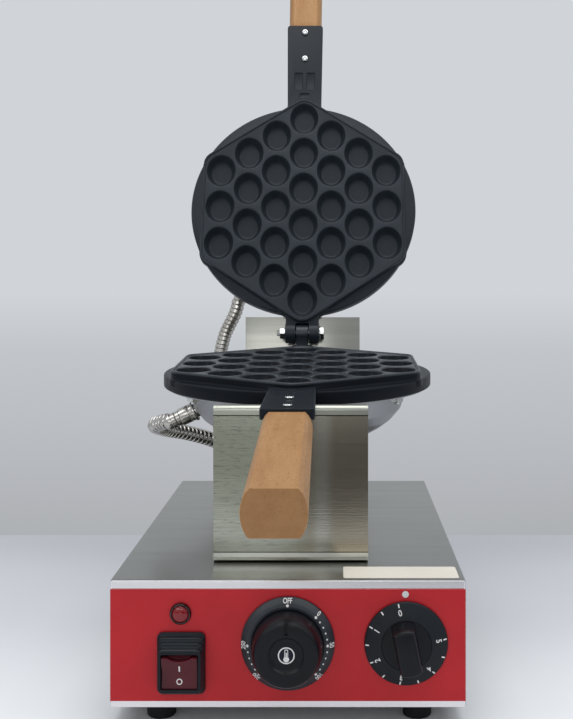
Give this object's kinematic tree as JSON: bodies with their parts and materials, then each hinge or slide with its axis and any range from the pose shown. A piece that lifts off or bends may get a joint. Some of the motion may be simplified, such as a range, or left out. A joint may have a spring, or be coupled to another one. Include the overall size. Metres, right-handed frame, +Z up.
{
  "type": "bubble waffle maker",
  "caption": "Open countertop bubble waffle maker: two hinged cup moulds with wood handles on a steel stand over a red-fronted control base.",
  "frame": {"origin": "on the ground, under the middle of the whole machine with the upper mould open (hoses not counted)", "axes": "+Z up; -Y towards the user and the control panel; +X to the right as seen from the front"},
  "size_m": [0.2607, 0.7248, 0.7403],
  "materials": {
    "steel": "folded stainless steel, brushed",
    "rubber": "black rubber",
    "red_panel": "red printed front plate",
    "bright_steel": "bright plated steel",
    "black_plastic": "black moulded plastic",
    "lamp_amber": "amber lens, unlit",
    "cover_steel": "thin pressed steel",
    "wood": "oiled light wood",
    "heater": "steel-sheathed element",
    "mould_coating": "cast aluminium with dark non-stick coating",
    "rocker_red": "dark red translucent plastic",
    "terminal_white": "ceramic-coloured block",
    "brass": "brass body",
    "dial_plastic": "dark grey moulded plastic"
  },
  "bodies": {
    "base": {"base_floor": "steel", "base_shell": "steel", "foot_front_left": "rubber", "foot_front_right": "rubber", "foot_rear_left": "rubber", "foot_rear_right": "rubber", "front_panel": "red_panel", "hinge_nut": "bright_steel", "hinge_pin": "bright_steel", "lamp_bezel": "black_plastic", "lamp_lens": "lamp_amber", "lower_cover_nut_handle_left": "bright_steel", "lower_cover_nut_handle_right": "bright_steel", "lower_cover_nut_hinge_left": "bright_steel", "lower_cover_nut_hinge_right": "bright_steel", "lower_dome": "cover_steel", "lower_handle": "wood", "lower_handle_screw_inner": "bright_steel", "lower_handle_screw_outer": "bright_steel", "lower_heater": "heater", "lower_hose": "bright_steel", "lower_hose_collar": "bright_steel", "lower_hose_gland": "bright_steel", "lower_mould": "mould_coating", "pivot_nut": "bright_steel", "pivot_shaft": "bright_steel", "rear_gland": "black_plastic", "stand_bolt_front_left": "bright_steel", "stand_bolt_front_right": "bright_steel", "stand_bolt_rear_left": "bright_steel", "stand_bolt_rear_right": "bright_steel", "stand_front_plate": "steel", "stand_rear_plate": "steel", "switch_housing": "black_plastic", "terminal_block": "terminal_white", "thermostat_body": "brass", "thermostat_ring": "dial_plastic", "timer_body": "brass", "upper_hose": "bright_steel", "upper_hose_gland": "bright_steel"},
    "upper_mould": {"upper_cover_nut_handle_left": "bright_steel", "upper_cover_nut_handle_right": "bright_steel", "upper_cover_nut_hinge_left": "bright_steel", "upper_cover_nut_hinge_right": "bright_steel", "upper_dome": "cover_steel", "upper_handle": "wood", "upper_handle_screw_inner": "bright_steel", "upper_handle_screw_outer": "bright_steel", "upper_heater": "heater", "upper_hose_collar": "bright_steel", "upper_mould": "mould_coating"},
    "thermostat_knob": {"thermostat_knob": "black_plastic", "thermostat_shaft": "bright_steel"},
    "timer_knob": {"timer_knob": "black_plastic", "timer_shaft": "bright_steel"},
    "power_rocker": {"switch_rocker": "rocker_red"}
  },
  "joints": [
    {"name": "upper_mould_hinge", "type": "hinge", "parent": "base", "child": "upper_mould", "pos_m": [0, 0.15326, 0.2568], "axis": [1, 0, 0], "range_deg": [0, 112.85], "deforming": ["upper_hose"]},
    {"name": "thermostat_turn", "type": "hinge", "parent": "base", "child": "thermostat_knob", "pos_m": [0, -0.18174, 0.059], "axis": [0, 1, 0], "range_deg": [0, 266.4]},
    {"name": "timer_turn", "type": "hinge", "parent": "base", "child": "timer_knob", "pos_m": [0.0828, -0.18174, 0.059], "axis": [0, 1, 0], "range_deg": [0, 277.5]},
    {"name": "power_rocker_tip", "type": "hinge", "parent": "base", "child": "power_rocker", "pos_m": [-0.0745, -0.18824, 0.0425], "axis": [-1, 0, 0], "range_deg": [0, 16]}
  ]
}
